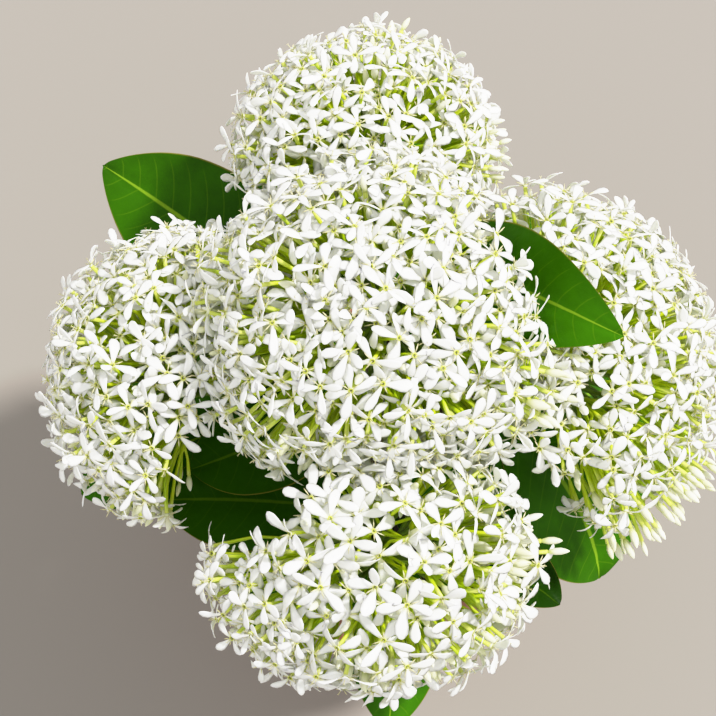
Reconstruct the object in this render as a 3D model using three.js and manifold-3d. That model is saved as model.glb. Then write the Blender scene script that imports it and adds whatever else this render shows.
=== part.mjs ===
// A potted white ixora: a clay pot of soil, a short woody trunk, five leafy shoots
// and a ball-shaped head of flowers on the stalk at the end of each shoot.
// Millimetres, +Z up, origin on the surface the pot stands on, under the trunk.
import * as THREE from "three";
import { ParametricGeometry } from "three/addons/geometries/ParametricGeometry.js";
import { mergeVertices } from "three/addons/utils/BufferGeometryUtils.js";
import Module from "manifold-3d";

const wasm = await Module();
wasm.setup();

// ---- driving dimensions ----

const GAP = 0.3; // between pieces that touch
const POT = {
  height: 122,
  baseRadius: 45,
  bodyTopRadius: 60, // just below the collar
  collarRadius: 70,
  collarHeight: 28,
  wall: 6,
  rimThickening: 4, // more than the wall, at the rim
  edge: 1.5, // rounding of the outer edges
  lip: 3, // rounding of the rim
  floor: 8,
  holeRadius: 8,
  segments: 40,
};
const SOIL_LEVEL = 106; // at the pot's wall
const SOIL_CROWN = 4; // how far the soil rises towards the trunk
const SOIL_EDGE = 3; // rounding of the soil where it meets the pot
const TRUNK = { radius: 6, buriedDepth: 24, top: 152, edge: 1.6, sides: 12 };
const SHOOT = { radius: 2.8, sides: 8, steps: 12, startRise: 0.75 };
const STALK = { radius: 1.7, sides: 8, steps: 4 };
const LEAF = {
  thickness: 0.9,
  stations: 12,
  around: 8,
  petioleShare: 0.07, // of the leaf's length
  petioleHalfWidth: 1.2,
  fold: 0.1, // rise of the blade from its midrib to its edge
  widest: 1.16, // above 1 moves the widest place towards the tip
  fullness: 0.6, // lower is blunter
  clearance: 0.8, // kept free round a leaf
  footClearance: 1.2, // between a leaf's foot and the bark
};

// Each head is a ball round the point where its flower tubes meet. lean is the way its
// stalk points, from is the height at which its shoot leaves the trunk.
const HEADS = {
  central: { centre: [0, 5, 270], radii: [59, 56, 54], lean: [0, -0.05, 1], stalk: 20 },
  left: { centre: [-63.7, 0, 224], radii: [52, 53, 52], lean: [-0.42, 0, 0.91], stalk: 16, from: 134 },
  right: { centre: [56.3, 4.6, 225.4], radii: [60, 64, 61], lean: [0.42, 0, 0.91], stalk: 16, from: 140 },
  back: { centre: [-5, 66.8, 248.6], radii: [47, 47, 47], lean: [0, 0.42, 0.91], stalk: 18, from: 145 },
  front: { centre: [-2.2, -59.9, 238], radii: [54, 50, 51], lean: [0, -0.42, 0.91], stalk: 18, from: 138 },
};
const HEAD = {
  detail: 5, // of the icosphere that carries each head
  underside: 0.5, // depth of the stalk's end below the centre, by radius
  rimDrop: 0.26, // depth of the lowest flowers below the centre, by radius
  rimReach: 0.966, // their distance from the lean axis, by radius
  crease: 0.8, // half the gap between two heads that press together
  gapReach: 0.5, // reach of the head inside a gap in its flowers, by radius
  gapEdge: 12, // width of the slope at a gap's edge, in degrees
};
// Gaps where a head has no flowers: the direction of the middle, and the angle from there
// to the edge, in degrees. Leaves show through them.
const GAPS = {
  left: { towards: [0.72, -0.68, 0.138], spread: 50 },
  right: { towards: [-0.663, -0.733, -0.147], spread: 58 },
  front: { towards: [-0.788, 0.508, 0.348], spread: 45 },
};
// One leaf rises between the central head and the right head, so that gap is wider. The
// normal points from the first head to the second, the distance is from the first's centre.
const LEAF_CREASE = {
  from: "central",
  to: "right",
  normal: [0.834, -0.039, -0.55],
  distance: 32.5,
  half: 4.8,
};

// Leaves: at is the share of the way up the shoot, az the compass angle in degrees from
// +X towards +Y, pitch the rise at the base, and bend the whole turn down to the tip,
// which comes later along the leaf where late is higher. roll lifts the left edge, and
// sweep is the whole turn to the left.
const LEAVES = {
  central: [
    { at: 0.62, az: 134.5, length: 125, width: 49, pitch: 6.5, bend: 0, roll: -17, sweep: 13.5 },
    { at: 0.5, az: -50, length: 70, width: 38, pitch: -2, bend: 20 },
    { at: 0.76, az: 214, length: 70, width: 36, pitch: -2, bend: 14, sweep: -20 },
    { at: 0.76, az: 34, length: 68, width: 34, pitch: -6, bend: 16 },
    { at: 0.34, az: 52, length: 92, width: 38, pitch: 16, bend: 26, roll: 8 },
    { at: 0.34, az: 232, length: 88, width: 38, pitch: 8, bend: 30, sweep: 10 },
  ],
  left: [
    { at: 0.95, az: 206, length: 64, width: 34, pitch: 14, bend: 26 },
    { at: 0.95, az: 98, length: 72, width: 32, pitch: 6, bend: 30 },
    { at: 0.6, az: 172, length: 86, width: 38, pitch: -4, bend: 28, roll: -8 },
    { at: 0.6, az: 262, length: 72, width: 34, pitch: -6, bend: 30 },
  ],
  right: [
    {
      at: 0.96,
      az: -33.5,
      length: 80,
      width: 56,
      pitch: -6,
      bend: 53,
      late: 1.25,
      roll: -16,
      sweep: -26,
      fold: 0.14,
    },
    { at: 0.95, az: 76, length: 80, width: 35, pitch: 4, bend: 28 },
    { at: 0.6, az: 12, length: 96, width: 38, pitch: -4, bend: 28, roll: 10 },
    { at: 0.6, az: -76, length: 70, width: 35, pitch: -8, bend: 30 },
  ],
  back: [
    { at: 0.77, az: -7.5, length: 141, width: 38, pitch: 62.7, bend: 59, late: 5, sweep: -36, fold: 0.03 },
    { at: 0.96, az: 122, length: 66, width: 34, pitch: 8, bend: 30 },
    { at: 0.96, az: 60, length: 66, width: 34, pitch: 6, bend: 30 },
    { at: 0.58, az: 88, length: 82, width: 38, pitch: -2, bend: 28, sweep: 12 },
    { at: 0.58, az: 176, length: 80, width: 36, pitch: -8, bend: 26 },
  ],
  front: [
    { at: 0.9, az: 171.5, length: 71, width: 37, pitch: 6, bend: 5, roll: 5, sweep: 10 },
    { at: 0.9, az: -20.5, length: 68, width: 35, pitch: 11, bend: 22, late: 1.7, roll: -34, sweep: -8 },
    { at: 0.72, az: -80.5, length: 76, width: 36, pitch: 6, bend: 25, late: 1.6, roll: -28, sweep: -4 },
    { at: 0.62, az: 222, length: 62, width: 34, pitch: -10, bend: 26 },
  ],
};
const SETTLE_STEPS = [0, 4, -4, 8, -8, 12, -12, 16, -16, 20, -20, 25, -25, 30, -30]; // degrees

// ---- materials ----

const finish = (color, roughness) => new THREE.MeshStandardMaterial({ color, roughness, metalness: 0 });
const clay = finish(0xb5653f, 0.85);
const earth = finish(0x33261d, 0.95);
const bark = finish(0x6f6250, 0.9);
const youngBark = finish(0x5d6b3c, 0.75);
const stalkGreen = finish(0x93ab2e, 0.6);
const leafGreen = finish(0x2f6b1c, 0.38);
const petalWhite = finish(0xf6f6f1, 0.6);

// ---- helpers ----

const radians = THREE.MathUtils.degToRad;
const vector = (p) => new THREE.Vector3(...p);

// The geometry with shared vertices merged and flattened triangles left out.
function welded(geometry) {
  geometry.deleteAttribute("normal");
  geometry.deleteAttribute("uv");
  const merged = mergeVertices(geometry, 1e-3);
  const kept = [];
  const index = merged.index.array;
  for (let i = 0; i < index.length; i += 3) {
    const [a, b, c] = index.slice(i, i + 3);
    if (a !== b && b !== c && c !== a) kept.push(a, b, c);
  }
  merged.setIndex(kept);
  merged.computeVertexNormals();
  return merged;
}

// A manifold-3d solid of a welded geometry, moved by an optional matrix.
function solidOf(geometry, matrix = new THREE.Matrix4()) {
  const placed = geometry.clone().applyMatrix4(matrix);
  const vertProperties = new Float32Array(placed.attributes.position.array);
  const triVerts = new Uint32Array(placed.index.array);
  return new wasm.Manifold(new wasm.Mesh({ numProp: 3, vertProperties, triVerts }));
}

function geometryOf(solid) {
  const { vertProperties, triVerts } = solid.getMesh();
  const geometry = new THREE.BufferGeometry();
  geometry.setAttribute("position", new THREE.BufferAttribute(vertProperties, 3));
  geometry.setIndex(new THREE.BufferAttribute(triVerts, 1));
  geometry.computeVertexNormals();
  return geometry;
}

function piece(name, geometry, material) {
  const mesh = new THREE.Mesh(geometry, material);
  mesh.name = name;
  return mesh;
}

function tube(curve, radius, sides, steps) {
  const section = new THREE.Shape().absarc(0, 0, radius, 0, 2 * Math.PI);
  const options = { steps, curveSegments: sides / 2, extrudePath: curve, bevelEnabled: false };
  return welded(new THREE.ExtrudeGeometry(section, options));
}

// A solid of revolution about Z, from [radius, height] points.
function turned(profile, segments) {
  const points = profile.map(([r, z]) => new THREE.Vector2(r, z));
  return welded(new THREE.LatheGeometry(points, segments).rotateX(Math.PI / 2));
}

// ---- pot, soil and trunk ----

const collarFoot = POT.height - POT.collarHeight;
// The inner wall's radius at a height, from the pot's floor to its rim.
const innerFloorRadius = POT.baseRadius - POT.wall;
const innerRimRadius = POT.collarRadius - POT.wall - POT.rimThickening;
const innerRadius = (z) =>
  THREE.MathUtils.mapLinear(z, POT.floor, POT.height, innerFloorRadius, innerRimRadius);

function potGeometry() {
  const { height, baseRadius, collarRadius, edge, lip, floor, holeRadius } = POT;
  return turned(
    [
      [holeRadius, 0],
      [baseRadius - edge, 0],
      [baseRadius, edge],
      [POT.bodyTopRadius, collarFoot],
      [collarRadius - 2 * edge, collarFoot + edge / 2],
      [collarRadius - edge, collarFoot + 2 * edge],
      [collarRadius, height - lip],
      [collarRadius - lip / 3, height - lip / 3],
      [collarRadius - lip, height],
      [innerRimRadius + lip, height],
      [innerRimRadius + lip / 3, height - lip / 3],
      [innerRadius(height - lip), height - lip],
      [innerRadius(floor + edge), floor + edge],
      [innerFloorRadius - edge, floor],
      [holeRadius, floor],
      [holeRadius, 0],
    ],
    POT.segments,
  );
}

function soilGeometry() {
  const bottom = POT.floor + GAP;
  const holeRadius = TRUNK.radius + GAP;
  const crown = SOIL_LEVEL + SOIL_CROWN;
  const wallGap = 2 * GAP; // the pot's wall is a little nearer at the middle of its flats
  return turned(
    [
      [0, bottom],
      [innerFloorRadius - SOIL_EDGE, bottom],
      [innerRadius(POT.floor + SOIL_EDGE) - wallGap, POT.floor + SOIL_EDGE],
      [innerRadius(SOIL_LEVEL - SOIL_EDGE / 3) - wallGap, SOIL_LEVEL - SOIL_EDGE / 3],
      [innerRadius(SOIL_LEVEL) - SOIL_EDGE, SOIL_LEVEL],
      [innerRadius(SOIL_LEVEL) / 2, SOIL_LEVEL + SOIL_CROWN / 2],
      [holeRadius, crown],
      [holeRadius, crown - TRUNK.buriedDepth],
      [0, crown - TRUNK.buriedDepth],
    ],
    POT.segments,
  );
}

function trunkGeometry() {
  const { radius, top, edge } = TRUNK;
  const foot = SOIL_LEVEL + SOIL_CROWN - TRUNK.buriedDepth + GAP;
  return turned(
    [
      [0, foot],
      [radius, foot],
      [radius, top - edge],
      [radius - edge, top],
      [0, top],
    ],
    TRUNK.sides,
  );
}

// ---- shoots and flower stalks ----

const leanOf = (head) => vector(head.lean).normalize();
const meanRadius = (head) => (head.radii[0] + head.radii[1] + head.radii[2]) / 3;
// The point on the head's lean axis that far below its centre.
const belowCentre = (head, depth) => vector(head.centre).addScaledVector(leanOf(head), -depth);
const stalkTop = (head) => belowCentre(head, HEAD.underside * meanRadius(head) + GAP);
const stalkFoot = (head) => belowCentre(head, HEAD.underside * meanRadius(head) + GAP + head.stalk);

// A shoot leaves the trunk sideways and upwards, then turns to follow its head's lean.
function shootCurve(head) {
  const end = stalkFoot(head).addScaledVector(leanOf(head), -GAP);
  if (head.from === undefined) {
    const start = new THREE.Vector3(0, 0, TRUNK.top + GAP);
    const third = (end.z - start.z) / 3;
    const above = start.clone().setZ(start.z + third);
    const below = end.clone().addScaledVector(leanOf(head), -third);
    return new THREE.CubicBezierCurve3(start, above, below, end);
  }
  const start = new THREE.Vector3(0, 0, head.from);
  const outward = new THREE.Vector3(end.x, end.y, 0).normalize();
  const reach = start.distanceTo(end) / 3;
  const leave = outward.add(new THREE.Vector3(0, 0, SHOOT.startRise)).normalize();
  const above = start.clone().addScaledVector(leave, reach);
  const below = end.clone().addScaledVector(leanOf(head), -reach);
  return new THREE.CubicBezierCurve3(start, above, below, end);
}

// The shoot's tube, cut back where it would enter the trunk.
function shootGeometry(head, trunkRoom) {
  const geometry = tube(shootCurve(head), SHOOT.radius, SHOOT.sides, SHOOT.steps);
  if (head.from === undefined) return geometry;
  return geometryOf(solidOf(geometry).subtract(trunkRoom));
}

function stalkGeometry(head) {
  const line = new THREE.LineCurve3(stalkFoot(head), stalkTop(head));
  return tube(line, STALK.radius, STALK.sides, STALK.steps);
}

// ---- flower heads ----

// Where a head meets each neighbour: a plane with a normal towards the neighbour, at a
// distance from the head's centre. Both balls reach it at their shared crease.
function creasesOf(name) {
  const head = HEADS[name];
  const creases = [];
  for (const [otherName, other] of Object.entries(HEADS)) {
    if (otherName === name) continue;
    const normal = vector(other.centre).sub(vector(head.centre));
    const apart = normal.length();
    const [r, s] = [meanRadius(head), meanRadius(other)];
    if (apart > r + s) continue;
    const pair = [name, otherName];
    if (pair.includes(LEAF_CREASE.from) && pair.includes(LEAF_CREASE.to)) {
      creases.push(leafCrease(name, normal));
      continue;
    }
    const distance = (apart ** 2 + r ** 2 - s ** 2) / (2 * apart) - HEAD.crease;
    creases.push({ normal: normal.divideScalar(apart), distance });
  }
  return creases;
}

// The wide crease as one of its two heads sees it. across points to the other head.
function leafCrease(name, across) {
  const { from, distance, half } = LEAF_CREASE;
  const normal = vector(LEAF_CREASE.normal).normalize();
  if (name === from) return { normal, distance: distance - half };
  normal.negate();
  return { normal, distance: across.dot(normal) - distance - half };
}

// The share of the ball's radius that is left in a direction by the head's gap.
function gapShare(gap, direction) {
  if (!gap) return 1;
  const away = THREE.MathUtils.radToDeg(direction.angleTo(vector(gap.towards)));
  const edge = THREE.MathUtils.smoothstep(away, gap.spread - HEAD.gapEdge, gap.spread);
  return THREE.MathUtils.lerp(HEAD.gapReach, 1, edge);
}

// How far the head reaches from its centre in a direction: to the ball, to the cone that
// closes its underside, or to the crease with a neighbour, whichever comes first.
function reachOf(head, gap, creases, direction) {
  const [rx, ry, rz] = head.radii;
  const full = 1 / Math.hypot(direction.x / rx, direction.y / ry, direction.z / rz);
  const ball = full * gapShare(gap, direction);
  const depth = HEAD.underside * meanRadius(head);
  const up = direction.dot(leanOf(head));
  const out = Math.sqrt(Math.max(0, 1 - up * up));
  const slope = (HEAD.underside - HEAD.rimDrop) / HEAD.rimReach;
  const under = slope * out > up ? depth / (slope * out - up) : Infinity;
  const faces = creases.map(({ normal, distance }) => {
    const towards = direction.dot(normal);
    return towards > 0 ? distance / towards : Infinity;
  });
  return Math.min(ball, under, ...faces);
}

function headGeometry(name) {
  const head = HEADS[name];
  const creases = creasesOf(name);
  const geometry = welded(new THREE.IcosahedronGeometry(1, HEAD.detail));
  const position = geometry.attributes.position;
  const direction = new THREE.Vector3();
  for (let i = 0; i < position.count; i++) {
    direction.fromBufferAttribute(position, i).normalize();
    direction.multiplyScalar(reachOf(head, GAPS[name], creases, direction));
    position.setXYZ(i, direction.x, direction.y, direction.z);
  }
  geometry.translate(...head.centre);
  geometry.computeVertexNormals();
  return geometry;
}

// ---- leaves ----

const halfWidthAt = (s, width) => {
  if (s <= 0 || s >= 1) return 0;
  const { petioleShare, petioleHalfWidth, widest, fullness } = LEAF;
  const along = Math.max(0, (s - petioleShare) / (1 - petioleShare));
  return petioleHalfWidth * (1 - along) + (width / 2) * Math.sin(Math.PI * along ** widest) ** fullness;
};

// The midrib's point and directions at share s of a leaf that leaves its shoot along +X:
// along it, to its left side, and up from the blade.
function midribAt(s, { length, bend, late = 1, sweep = 0 }) {
  const steps = 16;
  const directionAt = (t) => {
    const slope = radians(-bend * t ** late);
    const heading = radians(sweep * t);
    const level = Math.cos(slope);
    return new THREE.Vector3(
      level * Math.cos(heading),
      level * Math.sin(heading),
      Math.sin(slope),
    );
  };
  const point = new THREE.Vector3();
  for (let i = 0; i < steps; i++) {
    point.addScaledVector(directionAt((s * (i + 0.5)) / steps), (s * length) / steps);
  }
  const heading = radians(sweep * s);
  const side = new THREE.Vector3(-Math.sin(heading), Math.cos(heading), 0);
  return { point, side, up: directionAt(s).cross(side) };
}

// A thin lens-shaped blade, folded a little along its midrib. extra makes it fatter.
function leafGeometry(leaf, extra = 0) {
  const surface = (u, v, target) => {
    const s = 0.5 - 0.5 * Math.cos(Math.PI * v);
    const { point, side, up } = midribAt(s, leaf);
    const end = v === 0 || v === 1;
    const half = end ? 0 : halfWidthAt(s, leaf.width) + extra;
    const across = half * Math.cos(2 * Math.PI * u);
    const thick = end ? 0 : (LEAF.thickness / 2 + extra) * Math.sin(2 * Math.PI * u);
    const rise = thick + (leaf.fold ?? LEAF.fold) * Math.abs(across);
    target.copy(point).addScaledVector(side, across).addScaledVector(up, rise);
  };
  return welded(new ParametricGeometry(surface, LEAF.around, LEAF.stations));
}

// The matrix that puts a leaf's foot on its shoot, clear of the shoot's bark.
function leafPlace(curve, { at, az, pitch, roll = 0 }) {
  const azimuth = radians(az);
  const out = new THREE.Vector3(Math.cos(azimuth), Math.sin(azimuth), 0);
  const foot = curve.getPointAt(at).addScaledVector(out, SHOOT.radius + LEAF.footClearance);
  const turn = new THREE.Euler(radians(roll), radians(-pitch), azimuth, "ZYX");
  return new THREE.Matrix4().makeRotationFromEuler(turn).setPosition(foot);
}

// Leaves lie over and under each other: a leaf that would cut through a piece in place
// is raised or lowered at its foot until it clears them all.
function settled(leaf, curve, inPlace) {
  const fatLeaf = leafGeometry(leaf, LEAF.clearance / 2);
  for (const step of SETTLE_STEPS) {
    const place = leafPlace(curve, { ...leaf, pitch: leaf.pitch + step });
    const room = solidOf(fatLeaf, place);
    if (!inPlace.some((solid) => room.intersect(solid).volume() > 0)) return place;
  }
  throw new Error(`no room for the leaf at ${leaf.az} degrees`);
}

// ---- the plant ----

const plant = new THREE.Group();
plant.add(piece("pot", potGeometry(), clay));
plant.add(piece("soil", soilGeometry(), earth));
plant.add(piece("trunk", trunkGeometry(), bark));

const roomRadius = TRUNK.radius + GAP;
const trunkRoom = solidOf(
  turned(
    [
      [0, 0],
      [roomRadius, 0],
      [roomRadius, 2 * TRUNK.top],
      [0, 2 * TRUNK.top],
    ],
    TRUNK.sides,
  ),
);
for (const [name, head] of Object.entries(HEADS)) {
  plant.add(piece(`shoot_${name}`, shootGeometry(head, trunkRoom), youngBark));
  plant.add(piece(`flower_stalk_${name}`, stalkGeometry(head), stalkGreen));
  plant.add(piece(`flower_head_${name}`, headGeometry(name), petalWhite));
}

const inPlace = plant.children.map((mesh) => solidOf(mesh.geometry));
for (const [name, leaves] of Object.entries(LEAVES)) {
  const curve = shootCurve(HEADS[name]);
  leaves.forEach((leaf, i) => {
    const place = settled(leaf, curve, inPlace);
    const mesh = piece(`leaf_${name}_${i + 1}`, leafGeometry(leaf), leafGreen);
    mesh.applyMatrix4(place);
    plant.add(mesh);
    inPlace.push(solidOf(mesh.geometry, place));
  });
}

export default plant;
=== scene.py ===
"""A potted white ixora in bloom, on a pale floor, seen steeply from above."""

import itertools
import math
import random

import bpy
import numpy as np
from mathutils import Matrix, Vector, noise
from mathutils.bvhtree import BVHTree


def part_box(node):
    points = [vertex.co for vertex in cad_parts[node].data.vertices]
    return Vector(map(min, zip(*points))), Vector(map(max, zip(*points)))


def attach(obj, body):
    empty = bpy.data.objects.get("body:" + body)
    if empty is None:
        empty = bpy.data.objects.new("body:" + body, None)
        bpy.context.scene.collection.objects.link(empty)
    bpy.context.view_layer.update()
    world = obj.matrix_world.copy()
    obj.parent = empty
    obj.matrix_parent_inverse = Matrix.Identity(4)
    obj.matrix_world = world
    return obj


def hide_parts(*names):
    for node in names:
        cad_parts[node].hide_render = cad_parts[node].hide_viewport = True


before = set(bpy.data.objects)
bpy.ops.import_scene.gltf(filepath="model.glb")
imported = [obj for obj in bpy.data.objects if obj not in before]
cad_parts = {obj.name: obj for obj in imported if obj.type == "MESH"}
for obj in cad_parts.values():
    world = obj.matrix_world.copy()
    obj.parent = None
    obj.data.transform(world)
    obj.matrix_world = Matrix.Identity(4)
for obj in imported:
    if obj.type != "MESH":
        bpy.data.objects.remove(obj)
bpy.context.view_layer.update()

MM = 0.001
py_random = random.Random(11)  # for the leaves and the crumbs


# ---- camera, light and floor ----

VIEW_ELEVATION = math.radians(72)
CAMERA_PLACE = (-0.0075, -0.18552, 0.81794)
LIGHT_ELEVATION = math.radians(57.5)
LIGHT_AZIMUTH = math.radians(18)


def add_object(name, data):
    thing = bpy.data.objects.new(name, data)
    bpy.context.scene.collection.objects.link(thing)
    return thing


camera = add_object("camera", bpy.data.cameras.new("camera"))
camera.data.sensor_width = 36
camera.data.lens = 93.3
camera.data.clip_start = 0.01
camera.location = CAMERA_PLACE
camera.rotation_euler = (math.pi / 2 - VIEW_ELEVATION, 0, 0)
bpy.context.scene.camera = camera

key = add_object("key", bpy.data.lights.new("key", "SUN"))
key.data.energy = 4.75
key.data.angle = math.radians(5)
key.data.color = (1.0, 0.975, 0.94)
key.rotation_euler = (0, math.pi / 2 - LIGHT_ELEVATION, LIGHT_AZIMUTH)

world = bpy.data.worlds.new("soft_studio")
world.use_nodes = True
sky = world.node_tree.nodes["Background"]
sky.inputs["Color"].default_value = (0.95, 0.955, 0.94, 1)
sky.inputs["Strength"].default_value = 1.12
bpy.context.scene.world = world

# a soft shoulder, which keeps the shading of the petals in full light
TONE_WHITE = 2.4
TONES = [(0.22, 0.528), (0.42, 0.83), (0.58, 0.925), (0.76, 0.965)]
view = bpy.context.scene.view_settings
view.view_transform = "Standard"
view.use_curve_mapping = True
view.curve_mapping.white_level = (TONE_WHITE, TONE_WHITE, TONE_WHITE)
tone_curve = view.curve_mapping.curves[3]
tone_curve.points[-1].location = (1.0, 0.99)
for place in TONES:
    tone_curve.points.new(*place)
tone_curve.points[0].handle_type = "VECTOR"
tone_curve.points[1].handle_type = "VECTOR"
view.curve_mapping.update()


# ---- materials ----


class Finish:
    """A material made of nodes, with short ways to add and link them."""

    def __init__(self, name, roughness, **sockets):
        self.material = bpy.data.materials.new(name)
        self.material.use_nodes = True
        self.nodes = self.material.node_tree.nodes
        self.links = self.material.node_tree.links
        self.shader = self.nodes["Principled BSDF"]
        self.shader.inputs["Roughness"].default_value = roughness
        for socket, value in sockets.items():
            self.shader.inputs[socket.replace("_", " ")].default_value = value

    def plug(self, socket, value):
        """value is a socket, a number, a colour or the name of one of the mesh's marks."""
        if isinstance(value, str):
            mark = self.nodes.new("ShaderNodeAttribute")
            mark.attribute_name = value
            value = mark.outputs["Fac"]
        if isinstance(value, bpy.types.NodeSocket):
            self.links.new(value, socket)
        else:
            socket.default_value = (*value, 1) if isinstance(value, tuple) else value

    def math(self, operation, *values):
        node = self.nodes.new("ShaderNodeMath")
        node.operation = operation
        for socket, value in zip(node.inputs, values):
            self.plug(socket, value)
        return node.outputs[0]

    def ramp(self, value, low, high, start=0.0, end=1.0):
        """value, eased from start at low to end at high."""
        node = self.nodes.new("ShaderNodeMapRange")
        node.interpolation_type = "SMOOTHSTEP"
        for socket, item in zip(node.inputs, (value, low, high, start, end)):
            self.plug(socket, item)
        return node.outputs[0]

    def noise(self, scale, detail=3.0, roughness=0.55, stretch=(1, 1, 1)):
        place = self.nodes.new("ShaderNodeTexCoord").outputs["Object"]
        mapping = self.nodes.new("ShaderNodeMapping")
        self.plug(mapping.inputs["Vector"], place)
        mapping.inputs["Scale"].default_value = stretch
        node = self.nodes.new("ShaderNodeTexNoise")
        self.plug(node.inputs["Vector"], mapping.outputs[0])
        node.inputs["Scale"].default_value = scale
        node.inputs["Detail"].default_value = detail
        node.inputs["Roughness"].default_value = roughness
        return node.outputs[0]

    def mix(self, share, a, b):
        node = self.nodes.new("ShaderNodeMix")
        node.data_type = "RGBA"
        self.plug(node.inputs[0], share)
        self.plug(node.inputs[6], a)
        self.plug(node.inputs[7], b)
        return node.outputs[2]

    def colour(self, value):
        self.plug(self.shader.inputs["Base Color"], value)

    def bump(self, height, distance, strength=1.0):
        node = self.nodes.new("ShaderNodeBump")
        node.inputs["Distance"].default_value = distance
        node.inputs["Strength"].default_value = strength
        self.plug(node.inputs["Height"], height)
        self.plug(self.shader.inputs["Normal"], node.outputs[0])


def petal_finish():
    f = Finish("petal", 0.5, Subsurface_Weight=1.0, Subsurface_Scale=0.0005)
    f.shader.inputs["Subsurface Radius"].default_value = (1.0, 1.0, 0.9)
    white = f.mix("tone", (0.87, 0.875, 0.82), (0.935, 0.935, 0.895))
    f.colour(f.mix(f.ramp("along", 0.02, 0.26), (0.80, 0.83, 0.46), white))
    f.bump(f.noise(900, 2), 0.0002, 0.35)
    return f.material


def bud_finish():
    f = Finish("bud", 0.45, Subsurface_Weight=0.6, Subsurface_Scale=0.0006)
    f.shader.inputs["Subsurface Radius"].default_value = (1.0, 1.0, 0.7)
    cream = f.mix("tone", (0.78, 0.79, 0.50), (0.88, 0.88, 0.76))
    f.colour(f.mix(f.ramp("along", 0.05, 0.45), (0.58, 0.64, 0.20), cream))
    f.bump(f.noise(900, 2), 0.0002, 0.3)
    return f.material


def tube_finish():
    f = Finish("flower_tube", 0.42, Subsurface_Weight=0.6, Subsurface_Scale=0.0006)
    f.shader.inputs["Subsurface Radius"].default_value = (1.0, 1.0, 0.4)
    lime = f.mix("tone", (0.41, 0.59, 0.003), (0.59, 0.72, 0.009))
    f.colour(f.mix(f.ramp("along", 0.8, 1.0), lime, (0.66, 0.74, 0.14)))
    f.bump(f.noise(700, 2), 0.0002, 0.3)
    return f.material


def throat_finish():
    f = Finish("throat", 0.5)
    # the dark bottom of the cup is painted shade, where the tube opens
    ring = f.mix(f.ramp("along", 0.25, 0.6), (0.09, 0.12, 0.006), (0.54, 0.58, 0.07))
    f.colour(f.mix(f.ramp("along", 0.8, 1.0), ring, (0.80, 0.82, 0.55)))
    return f.material


def anther_finish():
    f = Finish("anther", 0.6)
    f.colour(f.mix(f.noise(600, 2), (0.66, 0.60, 0.26), (0.84, 0.80, 0.52)))
    return f.material


def cyme_finish():
    f = Finish("cyme", 0.5)
    # the dark green is partly the cyme's own colour and partly painted shade of the inside of the
    # head
    f.colour(f.mix(f.noise(160, 3), (0.06, 0.12, 0.006), (0.20, 0.32, 0.01)))
    f.bump(f.noise(900, 3), 0.0003, 0.5)
    return f.material


def leaf_finish():
    f = Finish("leaf", 0.45, Specular_IOR_Level=0.05)
    across = f.math("ABSOLUTE", "across")
    blotch = f.ramp(f.noise(48, 4), 0.3, 0.7, -0.2, 0.2)
    # tone is partly a random tone and, for the listed leaves, painted light and shade
    tone = f.math("ADD", "tone", blotch)
    tone_and_painted_light = f.mix(tone, (0.018, 0.077, 0.0002), (0.042, 0.178, 0.0002))
    # below a tone of -0.4 the blade turns the deep green of painted shade
    painted_deep_shade = f.ramp("tone", -1.0, -0.4, 1.0, 0.0)
    blade = f.mix(painted_deep_shade, tone_and_painted_light, (0.007, 0.032, 0.0002))
    vein = f.ramp(f.math("PINGPONG", "order", 0.5), 0.0, 0.06, 1.0, 0.0)
    vein = f.math("MULTIPLY", vein, f.ramp(across, 0.6, 0.97, 0.22, 0.0))
    # veins and midrib are fainter on a leaf painted dark for shade
    clear = f.ramp("tone", -0.5, 0.1, 0.15, 1.0)
    veined = f.mix(f.math("MULTIPLY", vein, clear), blade, (0.13, 0.27, 0.006))
    midrib = f.math("MULTIPLY", f.ramp(across, 0.015, 0.045, 0.75, 0.0), clear)
    ribbed = f.mix(midrib, veined, (0.21, 0.36, 0.015))
    edged = f.mix(f.ramp(across, 0.965, 0.995, 0.0, 0.75), ribbed, (0.24, 0.20, 0.03))
    under = f.mix(vein, (0.09, 0.19, 0.03), (0.17, 0.28, 0.05))
    f.colour(f.mix("upper", f.mix(midrib, under, (0.28, 0.40, 0.07)), edged))
    f.plug(f.shader.inputs["Roughness"], f.ramp(f.noise(120, 3), 0.2, 0.8, 0.36, 0.50))
    f.bump(f.math("ADD", f.math("MULTIPLY", vein, -0.6), f.noise(420, 3)), 0.0003, 0.5)
    return f.material


def stalk_finish():
    f = Finish("stalk", 0.45)
    lime = f.mix(f.noise(120, 3, stretch=(1, 1, 0.2)), (0.14, 0.23, 0.015), (0.26, 0.37, 0.03))
    f.colour(f.mix(f.ramp("along", 0.0, 0.6), (0.10, 0.14, 0.03), lime))
    f.bump(f.noise(500, 3, stretch=(1, 1, 0.2)), 0.0004, 0.5)
    return f.material


def young_bark_finish():
    f = Finish("young_bark", 0.6)
    green = f.mix(f.noise(90, 3, stretch=(1, 1, 0.25)), (0.07, 0.11, 0.02), (0.15, 0.19, 0.05))
    brown = f.mix(f.noise(260, 4, stretch=(1, 1, 0.3)), (0.10, 0.075, 0.045), (0.21, 0.17, 0.11))
    f.colour(f.mix(f.ramp("along", 0.1, 0.75), brown, green))
    f.bump(f.noise(420, 4, stretch=(1, 1, 0.25)), 0.0007, 0.8)
    return f.material


def bark_finish():
    f = Finish("bark", 0.85)
    streak = f.ramp(f.noise(240, 5, 0.6, stretch=(1, 1, 0.18)), 0.3, 0.7)
    moss = f.ramp(f.noise(60, 3), 0.55, 0.75)
    dry = f.mix(streak, (0.075, 0.055, 0.038), (0.24, 0.20, 0.155))
    f.colour(f.mix(f.math("MULTIPLY", moss, 0.5), dry, (0.12, 0.15, 0.07)))
    f.bump(f.noise(330, 5, 0.65, stretch=(1, 1, 0.2)), 0.0016, 1.0)
    return f.material


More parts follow.
